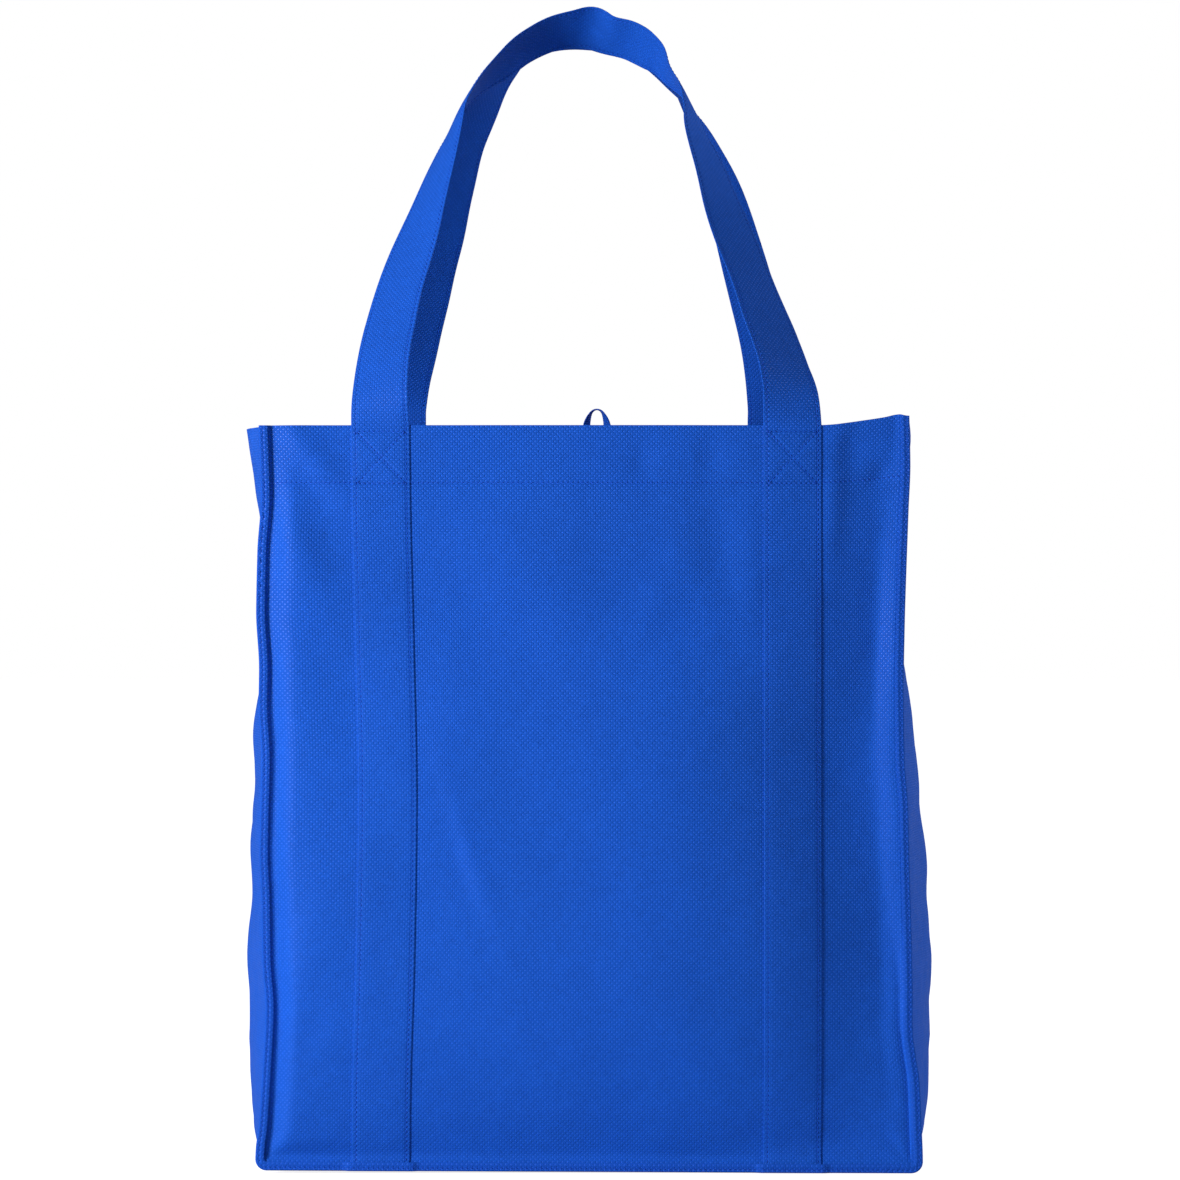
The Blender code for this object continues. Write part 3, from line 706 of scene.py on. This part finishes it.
def box_grooves(grid):
    """How deep the sewn boxes press into the straps, for each point of a handle."""
    depth = np.zeros(grid.shape[:2])
    for hand in (-1, 1):
        xx, zz = strap_places(hand)
        pressed = np.zeros(xx.shape)
        for (x0, z0), (x1, z1) in box_lines(hand):
            share = (xx - x0) * (x1 - x0) + (zz - z0) * (z1 - z0)
            share = np.clip(share / ((x1 - x0) ** 2 + (z1 - z0) ** 2), 0, 1)
            away = np.hypot(xx - x0 - share * (x1 - x0), zz - z0 - share * (z1 - z0))
            pressed = np.maximum(pressed, 0.3 * MM * np.exp(-((away / (0.85 * MM)) ** 2)))
        if hand < 0:
            depth[: len(pressed)] = pressed
        else:
            depth[-len(pressed):] = pressed[::-1]
    return depth


def handle_course(face):
    """The points of a handle's middle surface, in rows across the strap, from foot to foot."""
    s = sizes()
    columns = strap_columns()
    pressed = 0.45 * MM * (np.abs(columns) / (s.strap_width / 2)) ** 3
    off = (s.fabric / 2 + s.gap + s.strap / 2 - pressed)[None, :, None]
    legs = []
    for hand in (-1, 1):
        xx, zz = strap_places(hand)
        legs.append(panel_surface(xx, zz, face) + panel_out(xx, zz, face) * off)
    left, right = legs
    listed = np.array(FRONT_COURSE if face == FRONT else BACK_COURSE, float)
    free = np.concatenate([listed[:, :3] * MM, np.radians(listed[:, 3:])], 1)
    start = np.append(left[-1].mean(0), 0.0)
    end = np.append(right[-1].mean(0), 0.0)
    course = through(np.concatenate([[start], free, [end]]), 290)
    across, out = ribbon_frames(course, face)
    run = along(course[:, :3])
    mid = smooth(run / 0.05) * smooth((run[-1] - run) / 0.05)
    cup = 0.9 * MM * mid * (0.5 + 0.5 * uneven(run, 0, 0.2, 60 + face))
    twisted = uneven(run, 0, 0.05, 63 + face) * 0.35 * MM * mid
    c = columns[None, :] / (s.strap_width / 2)
    arch = course[:, None, :3] + across[:, None] * columns[None, :, None]
    arch = arch + out[:, None] * ((1 - c**2) * cup[:, None] + c * twisted[:, None])[..., None]
    rows = 8
    fade = smooth(1 - np.arange(1, rows + 1) / (rows + 1))[:, None, None]
    arch = arch[1:-1]
    arch[:rows] += fade * (left[-1] - (course[0, :3] + across[0] * columns[:, None]))
    arch[-rows:] += fade[::-1] * (right[-1] - (course[-1, :3] + across[-1] * columns[:, None]))
    return np.concatenate([left, arch, right[::-1]])


def handle(name, face):
    """A strap sewn up a panel, free in a twisted arch above the rim, and sewn down the panel again."""
    grid = handle_course(face)
    columns = strap_columns()
    half = strap_sections(columns)
    run = along(grid.mean(1))
    weave = places(columns, run)
    toward = np.zeros_like(grid)
    toward[: len(strap_heights()), :, 1] = face
    made = thick_sheet(name, grid, half[None, :] - box_grooves(grid), half, weave, toward)
    dress(made, "strap_fabric", name.replace("_strap", ""))


def hang_loop():
    """A small loop of tape with both its ends sewn inside the back rim."""
    s = sizes()
    off = s.fabric * 1.5 + s.gap + s.loop_tape / 2
    leg, top = s.loop_spacing / 2, s.rim_height + s.loop_rise
    half = [(leg, s.rim_height - LOOP_TUCK, 0), (leg, s.rim_height - LOOP_TUCK / 2, 0)]
    half += [(leg * side, s.rim_height + s.loop_rise * rise, turn) for side, rise, turn in LOOP_COURSE]
    parts = []
    for side in (-1, 1):
        part = []
        for x, z, turn in half:
            free = max(0.0, z - s.rim_height) / s.loop_rise
            y = panel_surface(s.loop_place + side * x, min(z, s.rim_height), BACK)[1] - off
            part.append((s.loop_place + side * x, y - 2 * MM * free, z, math.radians(turn)))
        parts.append(part)
    crown = (s.loop_place, parts[0][-1][1], top, math.radians(90))
    course = through(parts[0] + [crown] + parts[1][::-1], 110)
    across, out = ribbon_frames(course, 1)
    columns = np.linspace(-1, 1, 9) * s.loop_width / 2
    grid = course[:, None, :3] + across[:, None] * columns[None, :, None]
    body = s.loop_tape / 2 * (0.4 + 0.6 * np.sqrt(1 - (np.abs(columns) / (s.loop_width / 2)) ** 6 * 0.98))
    run = along(course[:, :3])
    weave = places(columns, run)
    toward = np.zeros_like(grid)
    toward[:20, :, 1] = 1
    made = thick_sheet("hang_loop_tape", grid, body, body, weave, toward)
    dress(made, "tape_fabric", "hang_loop")


# Stitches


def stitch_row(points, out, pitch):
    """Five places for each stitch along a line, with the outward direction and the thread's height."""
    run = along(points)
    count = max(1, int(round(run[-1] / pitch)))
    pitch = run[-1] / count
    rings = np.array([0.12, 0.3, 0.5, 0.7, 0.88])
    sink = np.array([-0.62, 0.1, 0.3, 0.1, -0.62])
    at = (np.arange(count)[:, None] + rings[None, :]) * pitch
    place = np.stack([np.interp(at, run, points[:, k]) for k in range(3)], -1)
    up = unit(np.stack([np.interp(at, run, out[:, k]) for k in range(3)], -1))
    return place, up, np.broadcast_to(sink, at.shape)


def sew(name, rows):
    """One object of all the stitches in the given rows."""
    s = sizes()
    radius = s.thread / 2
    sides = 6
    turn = np.arange(sides) * 2 * math.pi / sides
    verts, faces, base = [], [], 0
    for points, out in rows:
        place, up, sink = stitch_row(points, out, s.stitch)
        forward = unit(np.gradient(place, axis=1))
        side = unit(np.cross(forward, up))
        up = np.cross(side, forward)
        centre = place + up * (sink * s.thread)[..., None]
        girth = np.array([0.55, 0.95, 1.0, 0.95, 0.55]) * radius
        ring = side[:, :, None] * np.cos(turn)[:, None] + up[:, :, None] * np.sin(turn)[:, None]
        body = centre[:, :, None] + ring * girth[None, :, None, None]
        count, rings = body.shape[:2]
        verts.append(body.reshape(-1, 3))
        index = base + np.arange(count * rings * sides).reshape(count, rings, sides)
        a, b = index[:, :-1], index[:, 1:]
        quads = np.stack([a, np.roll(a, -1, 2), np.roll(b, -1, 2), b], -1).reshape(-1, 4)
        faces += quads.tolist()
        faces += index[:, 0, ::-1].tolist() + index[:, -1].tolist()
        base += count * rings * sides
    made = new_mesh(name, np.concatenate(verts), faces, sharp=80)
    dress(made, "thread")


def hem_rows(face):
    """The row that holds the hem, between and beside the straps."""
    s = sizes()
    z = s.rim_height - s.hem + 1.0 * MM
    rows = []
    leg, half, side = s.strap_spacing / 2, s.strap_width / 2, half_width(z) - 5 * MM
    for start, end in ((-side, -leg - half), (-leg + half, leg - half), (leg + half, side)):
        x = np.linspace(start, end, 160)
        out = panel_out(x, z, face)
        rows.append((panel_surface(x, z, face) + out * s.fabric / 2, out))
    return rows


def strap_rows(face):
    """The rows along both edges of a strap, on both faces where it is free, and the boxes at the rim."""
    s = sizes()
    grid = handle_course(face)
    columns = strap_columns()
    half = strap_sections(columns)
    sewn = len(strap_heights())
    free = slice(sewn, len(grid) - sewn)
    normal = grid_normals(grid)
    if (normal[:sewn, :, 1] * face).sum() < 0:
        normal = -normal
    rows = []
    for target in (-STRAP_ROW, STRAP_ROW):
        j = int(np.argmin(np.abs(columns - target)))
        rows.append((grid[:, j] + normal[:, j] * half[j], normal[:, j]))
        rows.append((grid[free, j] - normal[free, j] * half[j], -normal[free, j]))
    off = s.fabric / 2 + s.gap + s.strap
    for hand in (-1, 1):
        for a, b in box_lines(hand):
            x, z = np.linspace(a[0], b[0], 40), np.linspace(a[1], b[1], 40)
            out = panel_out(x, z, face)
            rows.append((panel_surface(x, z, face) + out * (off - 0.34 * MM), out))
    return rows


def tape_rows(face):
    """The row through the edge tape, on its front leaf."""
    line = seam_line(TAPE_ROW, TAPE_STEP)
    points = place_seam(line, -strap_lift(line[:, 0], line[:, 1]), face)
    return [(points, np.broadcast_to(np.array([0.0, face, 0.0]), points.shape))]


# Materials


def node(tree, kind, links=(), **settings):
    """A new node with its settings. Each link gives an input and the socket that feeds it."""
    made = tree.nodes.new(kind)
    for key, value in settings.items():
        setattr(made, key, value)
    for target, source in links:
        if hasattr(source, "is_linked"):
            tree.links.new(source, made.inputs[target])
        else:
            made.inputs[target].default_value = source
    return made


def sums(tree, operation, a, b=0.0):
    return node(tree, "ShaderNodeMath", [(0, a), (1, b)], operation=operation).outputs[0]


def mixture(tree, base, *parts):
    """A base with each part added to it by its weight."""
    total = 0.0
    for value, weight in parts:
        total = sums(tree, "ADD", total, sums(tree, "MULTIPLY", value, weight))
    return sums(tree, "ADD", total, base)


def noise(tree, scale, detail, roughness=0.5):
    """A noise fixed to the object, with its scale in cells a metre."""
    place = node(tree, "ShaderNodeTexCoord").outputs["Object"]
    settings = [("Vector", place), ("Scale", scale), ("Detail", detail), ("Roughness", roughness)]
    return node(tree, "ShaderNodeTexNoise", settings).outputs[0]


def remap(tree, value, start, end, low, high, **settings):
    """A value between start and end, turned into one between low and high."""
    links = [(0, value), (1, start), (2, end), (3, low), (4, high)]
    return node(tree, "ShaderNodeMapRange", links, **settings).outputs[0]


def tint(tree, shader, colour, tone):
    """Gives a shader a colour that a tone makes lighter or darker."""
    shade = node(tree, "ShaderNodeVectorMath", [(0, colour), (3, tone)], operation="SCALE").outputs[0]
    tree.links.new(shade, shader.inputs["Base Color"])


def emboss(tree, shader, height, strength, distance):
    links = [("Strength", strength), ("Distance", distance), ("Height", height)]
    bump = node(tree, "ShaderNodeBump", links)
    tree.links.new(bump.outputs[0], shader.inputs["Normal"])


def blank(name, roughness, colour):
    material = bpy.data.materials.new(name)
    material.use_nodes = True
    tree = material.node_tree
    shader = tree.nodes["Principled BSDF"]
    shader.inputs["Roughness"].default_value = roughness
    shader.inputs["Base Color"].default_value = (*colour, 1)
    return material, tree, shader


def nonwoven(name, colour):
    """Spunbond fabric: a lattice of pressed points, painted lighter as glints, with loose fibres between them.
    """
    material, tree, shader = blank(name, 0.5, colour)
    flat = node(tree, "ShaderNodeUVMap", uv_map="weave").outputs[0]
    parts = node(tree, "ShaderNodeSeparateXYZ", [(0, flat)])
    turn = 2 * math.pi / sizes().lattice
    u = sums(tree, "COSINE", sums(tree, "MULTIPLY", parts.outputs[0], turn))
    v = sums(tree, "COSINE", sums(tree, "MULTIPLY", parts.outputs[1], turn))
    lattice = sums(tree, "MULTIPLY", u, v)
    points = remap(tree, lattice, 0.2, 0.75, 0.0, 1.0, interpolation_type="SMOOTHSTEP")
    fibres = noise(tree, 1500.0, 2.0, 0.6)
    felt = noise(tree, 260.0, 3.0, 0.55)
    cloud = noise(tree, 16.0, 3.0)
    place = node(tree, "ShaderNodeTexCoord").outputs["Object"]
    up = node(tree, "ShaderNodeSeparateXYZ", [(0, place)]).outputs[2]
    # The points' painted glints, their bump and their gloss grow up the panel, where the light catches them,
    # and fade on the handles
    glint_and_bump_rise = remap(tree, up, 0.06, 0.34, 0.5, 1.35)
    glint_and_bump_fade = remap(tree, up, 0.40, 0.50, 1.0, 0.22)
    points = sums(tree, "MULTIPLY", points, sums(tree, "MULTIPLY", glint_and_bump_rise, glint_and_bump_fade))
    # Tone: random cloud, felt and fibres, with the pressed points painted lighter as glints
    tone = mixture(tree, 0.53, (cloud, 0.16), (felt, 0.22), (fibres, 0.30), (points, 0.30))
    tint(tree, shader, colour, tone)
    rough = remap(tree, sums(tree, "ADD", points, fibres), 0.2, 1.4, 0.62, 0.46)
    tree.links.new(rough, shader.inputs["Roughness"])
    emboss(tree, shader, mixture(tree, 0.0, (points, -0.75), (fibres, 0.08), (felt, 0.18)), 1.0, 0.00036)
    tree.links.new(mixture(tree, 0.04, (points, 0.22)), shader.inputs["Specular IOR Level"])
    return material


def thread_material():
    # Darker than the fabric, partly as painted shade of the stitch holes
    colour = tuple(colours().thread)
    material, tree, shader = blank("thread", 0.6, colour)
    shader.inputs["Specular IOR Level"].default_value = 0.1
    fine = noise(tree, 2200.0, 2.0)
    tint(tree, shader, colour, mixture(tree, 0.65, (fine, 0.8)))
    emboss(tree, shader, fine, 0.5, 0.00008)
    return material


def board_material():
    """Grey board: pressed paper pulp with darker flecks."""
    colour = tuple(colours().board)
    material, tree, shader = blank("board", 0.85, colour)
    pulp = noise(tree, 420.0, 4.0)
    cloud = noise(tree, 22.0, 2.0)
    fleck = remap(tree, pulp, 0.60, 0.70, 0.0, -0.3)
    tint(tree, shader, colour, mixture(tree, 0.88, (cloud, 0.25), (fleck, 1.0)))
    emboss(tree, shader, pulp, 0.4, 0.0001)
    return material


made_materials = {}


def finish_of(slot):
    """The material of a slot, made when it is first needed."""
    if slot not in made_materials:
        if slot == "thread":
            made_materials[slot] = thread_material()
        elif slot == "board":
            made_materials[slot] = board_material()
        else:
            colour = getattr(colours(), slot.removesuffix("_fabric"))
            made_materials[slot] = nonwoven(slot + "_embossed", tuple(colour))
    return made_materials[slot]


def dress(piece, slot, *nodes):
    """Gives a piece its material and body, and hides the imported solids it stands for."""
    piece.data.materials.append(finish_of(slot))
    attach(piece, "root")
    if nodes:
        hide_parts(*nodes)


# Operators


class TOTE_OT_panels(bpy.types.Operator):
    """Make the front and back panels"""

    bl_idname = "tote.panels"
    bl_label = "Panels"

    def execute(self, context):
        panel("front_panel_sheet", FRONT)
        panel("back_panel_sheet", BACK)
        return {"FINISHED"}


class TOTE_OT_gusset(bpy.types.Operator):
    """Make the strip that forms both sides and the foot"""

    bl_idname = "tote.gusset"
    bl_label = "Gusset"

    def execute(self, context):
        gusset()
        return {"FINISHED"}


class TOTE_OT_tapes(bpy.types.Operator):
    """Make the tapes round the edges of the seams"""

    bl_idname = "tote.tapes"
    bl_label = "Edge tapes"

    def execute(self, context):
        edge_tape("front_edge_tape_strip", FRONT)
        edge_tape("back_edge_tape_strip", BACK)
        return {"FINISHED"}


class TOTE_OT_handles(bpy.types.Operator):
    """Make both handles, sewn to the panels and twisted over the rim"""

    bl_idname = "tote.handles"
    bl_label = "Handles"

    def execute(self, context):
        handle("front_handle_strap", FRONT)
        handle("back_handle_strap", BACK)
        return {"FINISHED"}


class TOTE_OT_hang_loop(bpy.types.Operator):
    """Make the small loop inside the back rim"""

    bl_idname = "tote.hang_loop"
    bl_label = "Hang loop"

    def execute(self, context):
        hang_loop()
        return {"FINISHED"}


class TOTE_OT_stitches(bpy.types.Operator):
    """Sew the hems, the straps and the tapes"""

    bl_idname = "tote.stitches"
    bl_label = "Stitches"

    def execute(self, context):
        for side, face in (("front", FRONT), ("back", BACK)):
            sew(side + "_hem_stitches", hem_rows(face))
            sew(side + "_strap_stitches", strap_rows(face))
            sew(side + "_tape_stitches", tape_rows(face))
        return {"FINISHED"}


class TOTE_OT_board(bpy.types.Operator):
    """Give the board in the foot its grey pulp surface"""

    bl_idname = "tote.board"
    bl_label = "Board"

    def execute(self, context):
        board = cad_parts["bottom_board"]
        board.data.materials.clear()
        board.data.materials.append(finish_of("board"))
        return {"FINISHED"}


class TOTE_OT_stage(bpy.types.Operator):
    """Set the floor, the lamps and the camera"""

    bl_idname = "tote.stage"
    bl_label = "Stage"

    def execute(self, context):
        stage = context.scene.tote_stage
        floor_and_sky(stage)
        lamp("key_lamp", (-8.8, -4.1, 3.6), stage.key)
        lamp("near_lamp", (-1.2, -1.0, 0.42), stage.near, 0.5)
        lamp("fill_lamp", (2.8, 0.6, 0.9), stage.fill, 1.4)
        camera = bpy.data.objects.new("camera", bpy.data.cameras.new("camera"))
        context.collection.objects.link(camera)
        camera.location = (stage.aside, -sizes().depth / 2 - stage.distance, stage.height)
        camera.rotation_euler = (math.pi / 2, 0, 0)
        camera.data.lens = stage.lens
        camera.data.sensor_width = 36
        camera.data.clip_end = 100
        context.scene.camera = camera
        context.scene.view_settings.view_transform = "Standard"
        return {"FINISHED"}


def lamp(name, place, power, size=None):
    """A soft lamp aimed at the bag: a square one of the given size, or a far one without a size."""
    data = bpy.data.lights.new(name, "AREA" if size else "SUN")
    if size:
        data.size = size
    else:
        data.angle = math.radians(22)
    data.energy = power
    made = bpy.data.objects.new(name, data)
    bpy.context.collection.objects.link(made)
    made.location = place
    aim = Vector((0, 0, 0.28)) - Vector(place)
    made.rotation_euler = aim.to_track_quat("-Z", "Y").to_euler()


def floor_and_sky(stage):
    """A pale floor, and a sky that is white to the camera and soft light to all else."""
    half = 14.0
    verts = np.array([(-half, -half, 0), (half, -half, 0), (half, half, 0), (-half, half, 0)], float)
    floor = new_mesh("floor", verts, [(0, 1, 2, 3)])
    material = bpy.data.materials.new("floor")
    material.use_nodes = True
    tree = material.node_tree
    tree.nodes.remove(tree.nodes["Principled BSDF"])
    matt = node(tree, "ShaderNodeBsdfDiffuse", [("Color", (0.62, 0.62, 0.62, 1))])
    seen = node(tree, "ShaderNodeLightPath").outputs["Is Camera Ray"]
    glow = node(tree, "ShaderNodeEmission", [("Strength", sums(tree, "MULTIPLY", seen, 0.84))])
    both = node(tree, "ShaderNodeAddShader", [(0, matt.outputs[0]), (1, glow.outputs[0])])
    tree.links.new(both.outputs[0], tree.nodes["Material Output"].inputs["Surface"])
    floor.data.materials.append(material)
    world = bpy.data.worlds.new("sky")
    bpy.context.scene.world = world
    world.use_nodes = True
    tree = world.node_tree
    behind = tree.nodes["Background"]
    behind.inputs["Color"].default_value = (1, 1, 1, 1)
    direction = node(tree, "ShaderNodeTexCoord").outputs["Generated"]
    way = node(tree, "ShaderNodeSeparateXYZ", [(0, direction)]).outputs[1]
    glow = remap(tree, way, -0.3, 0.7, stage.sky, stage.backdrop)
    paths = node(tree, "ShaderNodeLightPath")
    sheen = remap(tree, paths.outputs["Is Glossy Ray"], 0.0, 1.0, glow, 0.1)
    strength = remap(tree, paths.outputs["Is Camera Ray"], 0.0, 1.0, sheen, 1.0)
    tree.links.new(strength, behind.inputs["Strength"])


class TOTE_PT_maker(bpy.types.Panel):
    bl_label = "Tote Bag"
    bl_idname = "TOTE_PT_maker"
    bl_space_type = "VIEW_3D"
    bl_region_type = "UI"
    bl_category = "Tote Bag"

    def draw(self, context):
        for step in STEPS:
            self.layout.operator(step.bl_idname)


STEPS = (
    TOTE_OT_panels,
    TOTE_OT_gusset,
    TOTE_OT_tapes,
    TOTE_OT_handles,
    TOTE_OT_hang_loop,
    TOTE_OT_stitches,
    TOTE_OT_board,
    TOTE_OT_stage,
)
GROUPS = (ToteSizes, ToteColours, ToteStage)


def register():
    for kind in GROUPS + STEPS + (TOTE_PT_maker,):
        bpy.utils.register_class(kind)
    bpy.types.Scene.tote_sizes = PointerProperty(type=ToteSizes)
    bpy.types.Scene.tote_colours = PointerProperty(type=ToteColours)
    bpy.types.Scene.tote_stage = PointerProperty(type=ToteStage)


def unregister():
    del bpy.types.Scene.tote_stage
    del bpy.types.Scene.tote_colours
    del bpy.types.Scene.tote_sizes
    for kind in reversed(GROUPS + STEPS + (TOTE_PT_maker,)):
        bpy.utils.unregister_class(kind)


def main():
    register()
    for step in STEPS:
        group, call = step.bl_idname.split(".")
        getattr(getattr(bpy.ops, group), call)()


if __name__ == "__main__":
    main()
